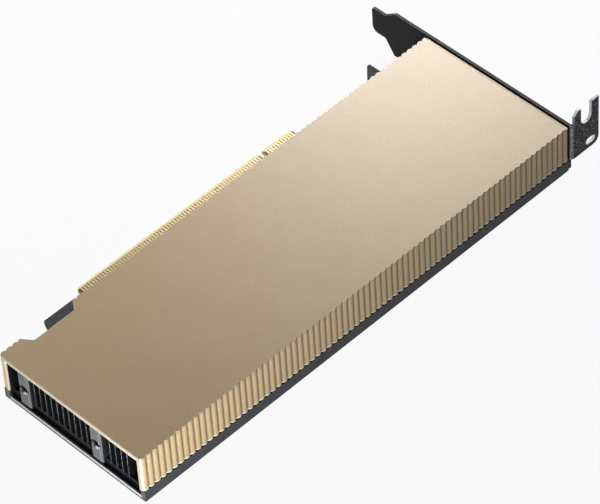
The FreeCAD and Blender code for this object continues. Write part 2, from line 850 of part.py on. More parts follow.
def power_inductors():
    """Moulded chokes with cut upper edges."""
    chokes = []
    for back in inductor_from_head:
        for centre in phase_centres(back):
            choke = block(centre, (inductor_size, inductor_size), board_top_z, inductor_height)
            chokes.append(chamfered(choke, part_chamfer, upright))
    return Part.makeCompound(chokes)


def inductor_pads():
    """Pads between the chokes and the base plate, inside the cut upper edges."""
    size = inductor_size - 2 * part_chamfer
    centres = [c for back in inductor_from_head for c in phase_centres(back)]
    return group(centres, (size, size), board_top_z + inductor_height, pad_height)


def power_stages():
    """Flat power transistors under the two bars."""
    centres = [c for back in stage_from_head for c in phase_centres(back)]
    return group(centres, stage_size, board_top_z, stage_height)


def power_stage_pads():
    """One long pad under each bar."""
    z = board_top_z + stage_height
    size = (stage_size[0], sink_high_y - sink_low_y)
    middle = (sink_low_y + sink_high_y) / 2
    return group([(sink_end_x - back, middle) for back in stage_from_head],
                 size, z, stage_pad_height)


def polymer_capacitors():
    """Capacitors between the two columns of power stages."""
    centres = phase_centres(capacitor_from_head)
    return group(centres, capacitor_size, board_top_z, capacitor_height)


def small_chip(place, size):
    """A small package near the tail."""
    from_tail, from_conn = place
    length, width, height = size
    centre = (tail_x + from_tail, sink_high_y - from_conn)
    return block(centre, (length, width), board_top_z, height)


# ================================================================ export
nodes = {
    "shroud": shroud(),
    "base_tray": base_tray(),
    "insulating_film": insulating_film(),
    "circuit_board": circuit_board(),
    "edge_contacts_upper": edge_contacts(board_top_z, board_top_z + contact_thickness),
    "edge_contacts_lower": edge_contacts(board_bottom_z - contact_thickness, board_bottom_z),
    "heatsink_base": heatsink_base(),
    "cooling_fins": cooling_fins(),
    "processor_package": processor_package(),
    "package_ring": package_ring(),
    "processor_die": processor_die(),
    "thermal_paste": thermal_paste(),
    "memory_chips": memory_chips(),
    "memory_pads": memory_pads(),
    "power_inductors": power_inductors(),
    "inductor_pads": inductor_pads(),
    "power_stages": power_stages(),
    "power_stage_pads": power_stage_pads(),
    "polymer_capacitors": polymer_capacitors(),
    "management_chip": small_chip(controller_place, controller_size),
    "firmware_chip": small_chip(firmware_place, firmware_size),
    "clock_crystal": small_chip(crystal_place, crystal_size),
    "bracket": bracket(),
    "bracket_screws": Part.makeCompound([bracket_screw(y) for y in post_centres()]),
    "cover_screws": Part.makeCompound([flat_head_screw(place, M2, cover_screw_length)
                                       for place in cover_screw_places()]),
    "post_screws": Part.makeCompound([flat_head_screw(place, M2, post_screw_length)
                                      for place in post_screw_places()]),
    "cooler_screws": Part.makeCompound([flat_head_screw(place, M25, cooler_screw_length)
                                        for place in cooler_screw_places()]),
}
for number, y in enumerate(post_centres(), start=1):
    nodes["tail_post_%d" % number] = tail_post(y)
    nodes["bracket_post_%d" % number] = bracket_post(y)

os.makedirs("parts", exist_ok=True)
for name, shape in nodes.items():
    shape.exportStep(os.path.join("parts", name + ".step"))
    print("%-22s solids %3d  faces %4d  volume %9.1f  valid %s"
          % (name, len(shape.Solids), len(shape.Faces), shape.Volume, shape.isValid()))
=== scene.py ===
# %% [markdown]
# # A passive accelerator card
#
# This notebook dresses a small server part: a low-profile card that is cooled only by the air a
# server blows through it.  The solids arrive ready made, in metres, with +X running from the open
# tail end to the mounting bracket, +Y towards the gold contacts and +Z up.  What is left to do here
# is the looks: finishes, the fine thread in two bores, light and a camera.

# %% Load the solids
import json
import math

import bpy
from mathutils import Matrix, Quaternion, Vector


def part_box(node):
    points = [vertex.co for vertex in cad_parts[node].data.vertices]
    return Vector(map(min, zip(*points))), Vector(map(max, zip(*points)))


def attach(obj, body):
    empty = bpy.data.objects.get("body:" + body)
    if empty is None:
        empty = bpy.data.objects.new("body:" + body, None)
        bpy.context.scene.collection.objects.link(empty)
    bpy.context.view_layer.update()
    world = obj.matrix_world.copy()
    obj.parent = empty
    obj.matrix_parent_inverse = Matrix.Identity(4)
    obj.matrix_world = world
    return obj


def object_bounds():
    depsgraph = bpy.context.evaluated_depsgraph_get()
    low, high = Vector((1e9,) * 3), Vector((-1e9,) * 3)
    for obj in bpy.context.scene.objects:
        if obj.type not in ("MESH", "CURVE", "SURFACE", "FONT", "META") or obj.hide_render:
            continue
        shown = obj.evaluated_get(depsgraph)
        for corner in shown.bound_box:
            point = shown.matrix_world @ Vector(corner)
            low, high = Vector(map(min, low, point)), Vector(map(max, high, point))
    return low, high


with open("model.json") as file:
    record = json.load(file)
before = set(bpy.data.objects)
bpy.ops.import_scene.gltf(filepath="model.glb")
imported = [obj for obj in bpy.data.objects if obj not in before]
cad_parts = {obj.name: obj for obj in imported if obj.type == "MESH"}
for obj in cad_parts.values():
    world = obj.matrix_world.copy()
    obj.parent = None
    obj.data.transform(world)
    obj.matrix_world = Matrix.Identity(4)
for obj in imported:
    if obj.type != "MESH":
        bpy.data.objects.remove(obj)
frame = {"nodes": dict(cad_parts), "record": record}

cad_low, cad_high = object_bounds()
slot_of = {part["node"]: part["material_slot"] for part in frame["record"]["subparts"]}
print("nodes", len(frame["nodes"]), "finishes", len(set(slot_of.values())))

# %% [markdown] Every finish is asked to do different things on different faces, so the script keeps
# the places it needs at hand. A place that is read this way stays right when the solids change.

# %% Places read from the solids
MM = 0.001

shroud_low, shroud_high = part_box("shroud")
tray_low, tray_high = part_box("base_tray")
contacts_low, contacts_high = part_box("edge_contacts_upper")
board_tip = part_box("circuit_board")[1].y
bracket_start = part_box("bracket")[0].x
fins_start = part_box("cooling_fins")[0].x

card_length = shroud_high.x - shroud_low.x
card_width = shroud_high.y - shroud_low.y
print("card %.1f x %.1f mm, %.1f mm high" % (card_length / MM, card_width / MM, shroud_high.z / MM))

# %% [markdown]
# ## Shader sums as Python
#
# A procedural finish is mostly arithmetic on sockets.  Placing Math nodes by hand hides that
# arithmetic, so a small class wraps a socket and turns `a * b + c` into the nodes it stands for.
# The `r` forms make `1 - mask` work as well.  A mask is a number that is 1 where a thing applies and
# 0 where it doesn't, so masks are multiplied to mean "and".

# %% A socket that can be reckoned with
class Socket:
    """One output of a shader node; sums on it add Math nodes to the same finish."""

    def __init__(self, finish, output):
        self.finish = finish
        self.output = output

    def sum(self, operation, first, second=0.0, clamp=False):
        inputs = {0: first, 1: second}
        return self.finish.node("ShaderNodeMath", {"operation": operation, "use_clamp": clamp}, inputs)

    def __add__(self, other):
        return self.sum("ADD", self, other)

    def __radd__(self, other):
        return self.sum("ADD", other, self)

    def __sub__(self, other):
        return self.sum("SUBTRACT", self, other)

    def __rsub__(self, other):
        return self.sum("SUBTRACT", other, self)

    def __mul__(self, other):
        return self.sum("MULTIPLY", self, other)

    def __rmul__(self, other):
        return self.sum("MULTIPLY", other, self)

    def above(self, edge, softness):
        """0 below the edge and 1 above it, with a soft step between."""
        return self.sum("ADD", self.sum("MULTIPLY", self - edge, 1.0 / softness), 0.5, clamp=True)

    def below(self, edge, softness):
        """1 below the edge and 0 above it."""
        return 1.0 - self.above(edge, softness)

    def between(self, low, high, softness):
        """1 from one edge to the other, and 0 outside them."""
        return self.above(low, softness) * self.below(high, softness)

    def size(self):
        """The number without its sign."""
        return self.sum("ABSOLUTE", self)

    def root(self):
        """The square root of the number."""
        return self.sum("SQRT", self)


def either(first, second):
    """The stronger of two masks."""
    return first.sum("MAXIMUM", first, second)


print("a socket knows", [name for name in vars(Socket) if not name.startswith("__")])

# %% [markdown]
# A finish is one Principled shader with a few helpers round it.  Its one method for nodes takes the
# node's type, its settings and what goes into its sockets.  Settings come first, because an operation
# or a data type decides which sockets there are.  The patterns that most finishes share are methods
# too: noise of a real size, a blend of two colours, a bump, and masks for a direction or an edge.

# %% A finish and its helpers
class Finish:
    """A material in the making: its nodes, its shader and the patterns that most finishes share."""

    def __init__(self, name):
        self.material = bpy.data.materials.new(name)
        self.material.use_nodes = True
        self.tree = self.material.node_tree
        self.shader = self.tree.nodes["Principled BSDF"]
        self.place = self.node("ShaderNodeTexCoord", output="Object")

    def feed(self, socket, value):
        if isinstance(value, Socket):
            self.tree.links.new(value.output, socket)
        else:
            socket.default_value = value

    def node(self, kind, settings=None, inputs=None, output=0):
        made = self.tree.nodes.new(kind)
        for name, value in (settings or {}).items():
            setattr(made, name, value)
        for name, value in (inputs or {}).items():
            self.feed(made.inputs[name], value)
        return Socket(self, made.outputs[output])

    def set(self, **values):
        """Feed the main shader; an underscore stands for the blank in a socket's name."""
        for name, value in values.items():
            self.feed(self.shader.inputs[name.replace("_", " ")], value)

    def axis(self, vector, name):
        """One coordinate of a vector."""
        return self.node("ShaderNodeSeparateXYZ", inputs={0: vector}, output=name)

    def places(self, names):
        """Where a point of the surface is along the named axes, in metres."""
        return [self.axis(self.place, name) for name in names]

    def faces(self, way, limit=0.5, softness=0.1):
        """1 where the surface faces "+X", "-X", or with "X" either; a limit near 1 is strict."""
        toward = self.axis(self.node("ShaderNodeNewGeometry", output="Normal"), way[-1])
        if way[0] == "-":
            toward = 0.0 - toward
        elif way[0] != "+":
            toward = toward.size()
        return toward.above(limit, softness)

    def grain(self, size, detail=2.0, stretch=(1.0, 1.0, 1.0)):
        """Noise whose grains are about this many metres across."""
        place = self.node("ShaderNodeMapping", inputs={"Vector": self.place, "Scale": stretch})
        return self.node("ShaderNodeTexNoise", inputs={"Vector": place, "Scale": 1.0 / size,
                                                       "Detail": detail})

    def blend(self, factor, first, second):
        """A colour between two colours."""
        settings = {"data_type": "RGBA", "clamp_factor": True}
        return self.node("ShaderNodeMix", settings, {0: factor, 6: first, 7: second}, output=2)

    def rounded(self, radius):
        """The surface direction as it would be with the edges broken by this radius."""
        return self.node("ShaderNodeBevel", {"samples": 6}, {"Radius": radius})

    def relief(self, height, depth, radius=None):
        """A bumped surface direction; a radius also rounds the edges of the solid."""
        inputs = {"Height": height, "Distance": depth, "Strength": 1.0}
        if radius:
            inputs["Normal"] = self.rounded(radius)
        self.set(Normal=self.node("ShaderNodeBump", inputs=inputs))

    def open_sky(self, distance):
        """1 on an open face and less in a groove about this wide."""
        settings = {"samples": 6, "only_local": True}
        return self.node("ShaderNodeAmbientOcclusion", settings, {"Distance": distance}, output="AO")

    def edge(self, radius):
        """1 close to a sharp outer edge, and 0 on the open face and in a groove.

        Near an edge the rounded direction leaves the flat one; a groove does the same, but sees
        less of the sky, and that leaves it out.
        """
        flat = self.node("ShaderNodeNewGeometry", output="Normal")
        likeness = self.node("ShaderNodeVectorMath", {"operation": "DOT_PRODUCT"},
                             {0: self.rounded(radius), 1: flat}, output="Value")
        return (1.0 - likeness).above(0.06, 0.10) * self.open_sky(radius * 2.0).above(0.8, 0.2)


print("a finish knows", [name for name in vars(Finish) if not name.startswith("__")])

# %% [markdown]
# Colours are written as plain red, green and blue.  A mask that follows a real edge changes over a
# crisp step, and one that only shades over a soft step; both are far narrower than the pieces are.

# %% Colours and steps
def colour(red, green, blue):
    """A colour with its alpha, as the sockets take it."""
    return (red, green, blue, 1.0)


CRISP = 0.05 * MM
SOFT = 0.1 * MM
BROKEN_EDGE = 0.10 * MM

finishes = {}
print("steps of", CRISP / MM, "and", SOFT / MM, "mm; edges broken by", BROKEN_EDGE / MM, "mm")

# %% [markdown]
# ## The shroud's metal
#
# The shroud is machined aluminium, bead blasted and anodised a pale champagne.  Blasting leaves tiny
# dents all over, which is why the metal glows softly instead of mirroring.  A picture of such a
# surface would repeat and stretch round the flutes; noise in the solid's own millimetres runs through
# them without a seam.  Two sizes of noise are used: the dents, and the faint cloudiness of the dye.

# %% Blasted skin
CHAMPAGNE = colour(0.44, 0.30, 0.14)
CHAMPAGNE_PALE = colour(0.475, 0.33, 0.16)
# A pale colour for painted highlights: dent glints, the hem line and the flutes' edges.
CHAMPAGNE_HIGHLIGHT = colour(0.93, 0.86, 0.70)
DYE_CLOUD = 9 * MM


def blasted_skin(finish, dents):
    """Champagne with the cloudiness of its dye and a painted glint on the rim of every dent."""
    dye = finish.grain(DYE_CLOUD, detail=3.0)
    body = finish.blend(dye.above(0.5, 0.9), CHAMPAGNE, CHAMPAGNE_PALE)
    # A painted glint on every dent.
    return finish.blend(dents - 0.5, body, CHAMPAGNE_HIGHLIGHT)


print("dye clouds of", DYE_CLOUD / MM, "mm")

# %% [markdown]
# The flutes are half-round ribs that stand side by side down both long walls.  Painted shade darkens
# the grooves between them, their sides that face the bracket and the band under the face's rim, and a
# painted highlight runs along the hem, where the walls end, and along their sharp edges.  The grooves
# are found by how little of the sky they see, so no groove has to be placed by hand.

# %% Flutes
# A brown for painted shade.
SHADE_BROWN = colour(0.13, 0.078, 0.026)
FLUTE_REACH = 1.2 * MM
GROOVE_WIDTH = 0.7 * MM
RIM_HEIGHT = 0.6 * MM
HEM_TOP = 4.67 * MM
FLUTE_EDGE = 0.22 * MM


def mark_flutes(finish, body):
    """Painted shade in the grooves, on the sides facing the bracket and under the rim; painted
    highlights on the hem and edges.
    """
    y, z = finish.places("YZ")
    on_flutes = y.below(shroud_low.y + FLUTE_REACH, CRISP) * (1.0 - finish.faces("Z"))
    # Painted shade on the side of each flute that faces the bracket.
    shaded_side = finish.faces("+X", limit=0.2, softness=0.5) * on_flutes
    body = finish.blend(shaded_side * 0.4, body, SHADE_BROWN)
    # Painted shade in the grooves.
    body = finish.blend(finish.open_sky(GROOVE_WIDTH).below(0.75, 0.5), body, SHADE_BROWN)
    # Painted shade under the face's rim.
    under_rim = z.above(shroud_high.z - RIM_HEIGHT, SOFT) * on_flutes
    body = finish.blend(under_rim * 0.35, body, SHADE_BROWN)
    # A painted highlight along the hem.
    at_hem = z.below(HEM_TOP, SOFT) * on_flutes
    body = finish.blend(at_hem * 0.8, body, CHAMPAGNE_HIGHLIGHT)
    # A painted highlight on the flutes' sharp edges.
    return finish.blend(finish.edge(FLUTE_EDGE), body, CHAMPAGNE_HIGHLIGHT)


print("flutes lie within %.1f mm of the side" % (FLUTE_REACH / MM))

# %% [markdown]
# Beside the bracket the face steps down by half a millimetre to a narrow lip, which leaves room for the
# sheet.  A line of painted shade runs where the step begins, and the lip below it is painted a lighter
# tan as painted light.

# %% Step and lip
# A lighter tan for the lip, as painted light.
LIP_LIT_TAN = colour(0.85, 0.60, 0.32)
LIP_LENGTH = 0.7 * MM
LINE = 0.3 * MM


def mark_step(finish, body):
    """A line of painted shade where the step begins, and a lip painted a lighter tan as painted light.
    """
    x, z = finish.places("XZ")
    by_step = x.above(shroud_high.x - LIP_LENGTH - LINE, CRISP) * finish.faces("+Z", limit=0.7)
    # Painted shade where the step begins.
    body = finish.blend(by_step * 0.6, body, SHADE_BROWN)
    # The lip painted a lighter tan, as painted light.
    return finish.blend(by_step * z.below(shroud_high.z - LINE, CRISP), body, LIP_LIT_TAN)


print("lip %.1f mm long" % (LIP_LENGTH / MM))

# %% [markdown]
# The inside of the channel is black: partly a black coat, partly painted shade for its dark inside.
# The open tail end is milled last, through dye and paint, so its flat rim is a bare cream, with a line
# of painted shade along its top.  Its broken edges are bare metal under a painted highlight, almost
# white, and on the wall by the contacts that painted highlight is duller.

# %% Inside and open end
# Black for a black coat and for painted shade inside the channel.
INSIDE_BLACK_AND_SHADE = colour(0.010, 0.010, 0.012)
CUT_CREAM = colour(0.50, 0.40, 0.26)
# Bare metal with a painted highlight, almost white.
CUT_AND_HIGHLIGHT = colour(0.88, 0.84, 0.76)
SHROUD_WALL = 2.3 * MM
SHROUD_ROOF = 2.2 * MM
END_DEPTH = 0.35 * MM
ROOF_EDGE = 0.7 * MM

roof_low = shroud_high.z - SHROUD_ROOF


def between_walls(y):
    """1 from the inner face of one long wall to that of the other."""
    inner_low = shroud_low.y + SHROUD_WALL
    inner_high = shroud_high.y - SHROUD_WALL
    return y.between(inner_low - CRISP, inner_high + CRISP, CRISP)


def darken_inside(finish, body):
    """Black everywhere between the walls and under the roof: a black coat and painted shade."""
    y, z = finish.places("YZ")
    # Painted black: a black coat and painted shade inside the channel.
    return finish.blend(between_walls(y) * z.below(roof_low + CRISP, CRISP), body, INSIDE_BLACK_AND_SHADE)


def mark_open_end(finish, body):
    """A cream rim with painted shade along its top, and broken edges of bare metal under a painted
    highlight.
    """
    x, y, z = finish.places("XYZ")
    # The painted highlight on the broken edges is duller on the wall by the contacts.
    far_wall = y.above(shroud_high.y - 2.0 * SHROUD_WALL, CRISP) * z.below(roof_low - 0.2 * MM, SOFT)
    bare_and_highlight = finish.blend(far_wall * 0.85, CUT_AND_HIGHLIGHT, CUT_CREAM)
    at_end = x.below(shroud_low.x + END_DEPTH, CRISP) * finish.faces("-X", limit=0.4)
    body = finish.blend(at_end, body, bare_and_highlight)

    # A line of painted shade along the top of the rim.
    rim = finish.blend(z.above(shroud_high.z - LINE, SOFT), CUT_CREAM, SHADE_BROWN)
    # A painted highlight along the roof's lower edge.
    rim = finish.blend(z.below(roof_low + ROOF_EDGE, SOFT) * between_walls(y), rim, bare_and_highlight)
    return finish.blend(at_end * finish.faces("-X", limit=0.9, softness=0.05), body, rim)


print("walls %.1f mm, roof %.1f mm" % (SHROUD_WALL / MM, SHROUD_ROOF / MM))

# %% [markdown]
# The four steps come together in one material.  The same dents that carry painted glints in the skin's
# colour also roughen it and push it in and out, so a painted glint always sits where a dent is.

# %% Bead-blasted champagne
DENT_SIZE = 0.32 * MM
DENT_DEPTH = 0.026 * MM


def bead_blasted_champagne():
    finish = Finish("bead_blasted_champagne")
    dents = finish.grain(DENT_SIZE, detail=3.0)
    body = blasted_skin(finish, dents)
    body = mark_flutes(finish, body)
    body = mark_step(finish, body)
    body = darken_inside(finish, body)
    body = mark_open_end(finish, body)
    finish.set(Base_Color=body, Roughness=0.30 + dents * 0.08, IOR=1.5)
    finish.relief(dents, DENT_DEPTH, radius=BROKEN_EDGE)
    return finish.material


finishes["bead_blasted_metal"] = bead_blasted_champagne()
print("finish", finishes["bead_blasted_metal"].name)

# %% [markdown]
# ## Black steel
#
# The tray is powder coated: a satin black skin with a fine orange-peel, paler along its edges, partly
# thinner coat and partly a painted highlight.  Its tail face is painted a lighter grey as painted
# light, and the crest of its tail edge is bare steel under a painted highlight.  The trough behind the
# crest and the top of the rim under the flutes are painted black as painted shade.

# %% Powder coat
COAT_AND_SHADE_BLACK = colour(0.022, 0.022, 0.024)
COAT_GREY = colour(0.042, 0.043, 0.046)
EDGE_GREY = colour(0.34, 0.34, 0.35)
# A lighter grey for the tail face, as painted light.
LIT_TAIL_GREY = colour(0.09, 0.09, 0.09)
# Bare steel with a painted highlight, for crests and sharp edges.
STEEL_AND_HIGHLIGHT = colour(0.62, 0.62, 0.62)
SHADED_BLACK = colour(0.006, 0.006, 0.007)

TAIL_FACE_DEPTH = 0.6 * MM
CREST_DEPTH = 0.3 * MM
TROUGH_START = 0.7 * MM
TROUGH_MARGIN = 0.4 * MM
TROUGH_FLOOR = 0.5 * MM
RIM_MARGIN = 0.12 * MM


def powder_black():
    finish = Finish("powder_black")
    x, y, z = finish.places("XYZ")
    peel = finish.grain(0.35 * MM)
    cloud = finish.grain(6 * MM, detail=3.0)
    body = finish.blend(cloud.above(0.5, 0.7), COAT_AND_SHADE_BLACK, COAT_GREY)
    # Paler edges: thinner coat and a painted highlight.
    body = finish.blend(finish.edge(0.16 * MM) * 0.8, body, EDGE_GREY)

    upward = finish.faces("+Z", limit=0.3)
    # The tail face painted a lighter grey, as painted light.
    tail_face = x.below(tray_low.x + TAIL_FACE_DEPTH, CRISP) * finish.faces("-X", limit=0.9, softness=0.05)
    body = finish.blend(tail_face, body, LIT_TAIL_GREY)
    # The crest of the tail edge: bare steel under a painted highlight.
    on_crest = x.below(tray_low.x + CREST_DEPTH, CRISP) * finish.faces("-X", limit=0.3) * upward
    body = finish.blend(on_crest, body, STEEL_AND_HIGHLIGHT)

    # The trough painted black, as painted shade.
    behind_crest = x.above(tray_low.x + TROUGH_START, SOFT)
    in_trough = y.between(tray_low.y + TROUGH_MARGIN, tray_high.y - TROUGH_MARGIN, SOFT)
    in_trough = in_trough * behind_crest * z.above(TROUGH_FLOOR, SOFT)
    body = finish.blend(in_trough, body, SHADED_BLACK)
    # The top of the rim under the flutes painted black, as painted shade.
    on_rim = z.above(tray_high.z - CRISP, 0.02 * MM) * y.above(tray_low.y + RIM_MARGIN, 0.04 * MM)
    body = finish.blend(on_rim * upward * behind_crest, body, SHADED_BLACK)

    finish.set(Base_Color=body, Roughness=0.42 + peel * 0.12, IOR=1.3)
    finish.relief(peel, 0.02 * MM, radius=BROKEN_EDGE)
    return finish.material


finishes["black_steel"] = powder_black()
print("finish", finishes["black_steel"].name)

# %% [markdown]
# The bracket wears the same kind of coat over thin sheet.  Screws and fingers have rubbed its tab: the
# skin there is mottled and the sheared edges are bare, with painted glints on them.  The outside of the
# bend is painted grey as a painted highlight, and every sharp edge has a thin painted highlight.  The
# long edges of the body keep most of their coat.  One solid carries all of it, so the finish chooses by
# place and by the way the surface faces.

# %% Bracket coat
MOTTLE_GREY = colour(0.17, 0.17, 0.165)
# Grey for the painted highlight on the outside of the bend.
BEND_HIGHLIGHT_GREY = colour(0.38, 0.37, 0.35)
SHEARED_DARK = colour(0.012, 0.012, 0.012)
SHEARED_LIGHT = colour(0.07, 0.07, 0.07)
SHEARED_TAB = colour(0.30, 0.30, 0.30)
# Bare steel with painted glints, for the tab's sheared edges.
SHEARED_HIGHLIGHT = colour(0.85, 0.85, 0.85)
TAB_START = 1.1 * MM


def bracket_coat():
    finish = Finish("bracket_coat")
    x = finish.axis(finish.place, "X")
    peel = finish.grain(0.5 * MM, detail=3.0)
    cloud = finish.grain(0.6 * MM, detail=4.0)
    on_tab = x.above(bracket_start + TAB_START, 0.2 * MM)
    on_edge = finish.faces("Z", softness=0.2)

    mottled = finish.blend(cloud.above(0.53, 0.15), COAT_AND_SHADE_BLACK, MOTTLE_GREY)
    skin = finish.blend(1.0 - on_tab, mottled, COAT_AND_SHADE_BLACK)
    # The outside of the bend, painted grey as a painted highlight.
    bend = finish.faces("X", limit=0.2) * finish.faces("-Y", limit=0.2)
    bend = bend * (1.0 - finish.faces("Z", limit=0.3))
    skin = finish.blend(bend * peel.above(0.45, 0.3), skin, BEND_HIGHLIGHT_GREY)

    body_cut = (1.0 - on_tab) * either(on_edge, finish.faces("+Y", softness=0.2))
    body_edge = finish.blend(peel.above(0.5, 0.3), SHEARED_DARK, SHEARED_LIGHT)
    body = finish.blend(body_cut, skin, body_edge)
    # The tab's sheared edges: bare steel with painted glints.
    tab_cut = on_tab * either(on_edge, finish.faces("X", softness=0.2))
    tab_edge = finish.blend(peel.above(0.4, 0.3), SHEARED_TAB, SHEARED_HIGHLIGHT)
    body = finish.blend(tab_cut, body, tab_edge)
    # A thin painted highlight on every sharp edge.
    body = finish.blend(finish.edge(0.14 * MM), body, STEEL_AND_HIGHLIGHT)

    finish.set(Base_Color=body, Roughness=0.46 + peel * 0.2, IOR=1.2)
    finish.relief(peel, 0.04 * MM, radius=BROKEN_EDGE)
    return finish.material


finishes["black_bracket"] = bracket_coat()
print("finish", finishes["black_bracket"].name)

# %% [markdown]
# ## Board and contacts
#
# A circuit board is glass cloth and resin under a thin coloured mask, with the copper tracks showing
# faintly through it.  The mask stops short of the contact tab, where the bare brown laminate shows
# between the gold strips, and the bevel at the tip is cut right into the pale resin.  All of it is one
# solid, so the finish chooses by place and direction.  The tail under the shroud and the leg beside
# the bracket lie in shade, so the mask is darker there.

# %% Solder mask and laminate
MASK_BLACK = colour(0.032, 0.037, 0.042)
MASK_TRACE = colour(0.050, 0.057, 0.064)
MASK_SHADED = colour(0.008, 0.009, 0.010)
LAMINATE_BROWN = colour(0.07, 0.042, 0.016)
RESIN_PALE = colour(0.78, 0.70, 0.36)

TRACK_PITCH = 1.0 * MM
TAB_MARGIN = 0.8 * MM
SHADED_TAIL = 9 * MM
SHADED_LEG = 16 * MM
mask_edge_y = contacts_low.y - 0.6 * MM


def solder_mask():
    finish = Finish("solder_mask")
    x, y = finish.places("XY")
    weave = finish.grain(0.5 * MM)
    wave = x * (2.0 * math.pi / TRACK_PITCH)
    tracks = wave.sum("COSINE", wave).above(0.1, 0.3)
    mask = finish.blend(tracks * 0.8, MASK_BLACK, MASK_TRACE)
    inside = y.between(tray_low.y + 1.0 * MM, tray_high.y - 2.3 * MM, SOFT)
    mask = finish.blend(inside * x.below(fins_start + SHADED_TAIL, 2 * MM), mask, MASK_SHADED)
    mask = finish.blend(x.above(bracket_start - SHADED_LEG, 2 * MM) * 0.7, mask, MASK_SHADED)

    on_tab = x.between(contacts_low.x - TAB_MARGIN, contacts_high.x + TAB_MARGIN, SOFT)
    on_tab = on_tab * y.above(mask_edge_y, SOFT)
    bevelled = either(finish.faces("+Y", limit=0.15), finish.faces("X", limit=0.6)) * on_tab
    surface = finish.blend(on_tab, mask, LAMINATE_BROWN)
    surface = finish.blend(bevelled, surface, RESIN_PALE)

    finish.set(Base_Color=surface, Roughness=0.52 + weave * 0.2 + on_tab * 0.25, IOR=1.3)
    finish.relief(weave, 0.012 * MM, radius=0.06 * MM)
    return finish.material


finishes["board_black"] = solder_mask()
print("mask ends %.1f mm from the tip" % ((board_tip - mask_edge_y) / MM))

# %% [markdown]
# The contacts are hard gold over nickel.  Sliding into a slot rubs them along their length, so the
# noise is stretched that way: a Mapping node squeezes the coordinate, which draws the grain out.

# %% Hard gold
GOLD = colour(0.30, 0.225, 0.115)
GOLD_WORN = colour(0.42, 0.34, 0.20)
RUB_STRETCH = (1.0, 0.08, 1.0)


def hard_gold():
    finish = Finish("hard_gold")
    rubbed = finish.grain(0.25 * MM, detail=3.0, stretch=RUB_STRETCH)
    body = finish.blend(rubbed.above(0.5, 0.4), GOLD, GOLD_WORN)
    finish.set(Base_Color=body, Metallic=0.85, Roughness=0.36 + rubbed * 0.16)
    finish.relief(rubbed, 0.004 * MM)
    return finish.material


finishes["gold"] = hard_gold()
print("finish", finishes["gold"].name)

# %% [markdown]
# ## The cooler and the posts
#
# The fins are blackened sheet.  They were cut to length after blackening, so the edges that face the
# tail are bare; high up on the side where light comes in, those edges get a painted highlight that
# fades lower down.

# %% Blackened fins
FIN_BLACK = colour(0.006, 0.006, 0.007)
FIN_EDGE_DARK = colour(0.02, 0.02, 0.022)
FIN_EDGE_LIT = colour(0.70, 0.70, 0.71)
ROLLED_STRETCH = (0.05, 1.0, 1.0)
LIT_HEIGHT = 7.5 * MM
LIT_FADE = 8 * MM


def blackened_metal():
    finish = Finish("blackened_metal")
    x, z = finish.places("XZ")
    rolled = finish.grain(0.5 * MM, stretch=ROLLED_STRETCH)
    at_end = x.below(fins_start + 0.3 * MM, SOFT) * finish.faces("-X", limit=0.7, softness=0.2)
    # A painted highlight on one side of each front edge, fading lower down.
    turned = 0.0 - finish.axis(finish.rounded(0.12 * MM), "Y")
    lit = turned.above(0.12, 0.1) * z.above(LIT_HEIGHT, LIT_FADE)
    bare_and_highlight = finish.blend(lit, FIN_EDGE_DARK, FIN_EDGE_LIT)
    finish.set(Base_Color=finish.blend(at_end, FIN_BLACK, bare_and_highlight),
               Roughness=0.6 + rolled * 0.15, IOR=1.15)
    finish.relief(rolled, 0.006 * MM)
    return finish.material


finishes["sink_metal"] = blackened_metal()
print("finish", finishes["sink_metal"].name)

# %% [markdown]
# The posts are plain grey castings with a satin skin, and their edges carry a painted highlight.  Their
# sides are painted black as painted shade, and the countersink and bore of each hole are painted dark
# as painted shade, but for a painted highlight on the countersink's side that catches the light.  How
# far a point is from a bore's axis tells the countersink from the rest, so the masks need each bore's
# place.

# %% Places of the bores
BORE_HEIGHT = 8.9 * MM
BORE_RADIUS = 1.25 * MM
SINK_WIDTH = 0.6 * MM

bore_places = []
for post in ("tail_post_1", "tail_post_2"):
    low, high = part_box(post)
    bore_places.append((low.x, (low.y + high.y) / 2, BORE_HEIGHT))
print("bores at y", [round(place[1] / MM, 2) for place in bore_places])

# %% Grey posts
POST_GREY = colour(0.084, 0.088, 0.088)
POST_PALE = colour(0.138, 0.143, 0.144)
# A pale colour for the painted highlight on the edges.
POST_EDGE = colour(0.50, 0.51, 0.52)
SINK_RIM_HIGHLIGHT = colour(0.85, 0.86, 0.87)
# Black for painted shade in the bores and countersinks.
BORE_SHADE_BLACK = colour(0.004, 0.004, 0.005)


def post_metal():
    finish = Finish("post_metal")
    x, y, z = finish.places("XYZ")
    blast = finish.grain(0.6 * MM, detail=3.0)
    body = finish.blend(blast.above(0.5, 0.3), POST_GREY, POST_PALE)
    # A painted highlight on the edges.
    body = finish.blend(finish.edge(0.2 * MM), body, POST_EDGE)
    # The sides painted black, as painted shade; the same black is the real coat on tray and bracket.
    body = finish.blend(finish.faces("Y", limit=0.9), body, COAT_AND_SHADE_BLACK)

    # The countersink painted dark as painted shade, with a painted highlight on the side towards the
    # light.
    toward_light = finish.faces("+Z", limit=0.05, softness=0.2)
    toward_light = toward_light * finish.faces("+Y", limit=-0.1, softness=0.3)
    sink = finish.blend(toward_light, BORE_SHADE_BLACK, SINK_RIM_HIGHLIGHT)
    for front, across, height in bore_places:
        sideways = y - across
        upwards = z - height
        reach = (sideways * sideways + upwards * upwards).root()
        behind = x.above(front + 0.04 * MM, 0.02 * MM)
        body = finish.blend(reach.below(BORE_RADIUS + SINK_WIDTH, CRISP) * behind, body, sink)
        # The bore painted black, as painted shade.
        in_bore = reach.below(BORE_RADIUS + 0.04 * MM, 0.02 * MM) * behind
        body = finish.blend(in_bore, body, BORE_SHADE_BLACK)
    finish.set(Base_Color=body, Metallic=0.2, Roughness=0.42 + blast * 0.2)
    finish.relief(blast, 0.02 * MM, radius=BROKEN_EDGE)
    return finish.material


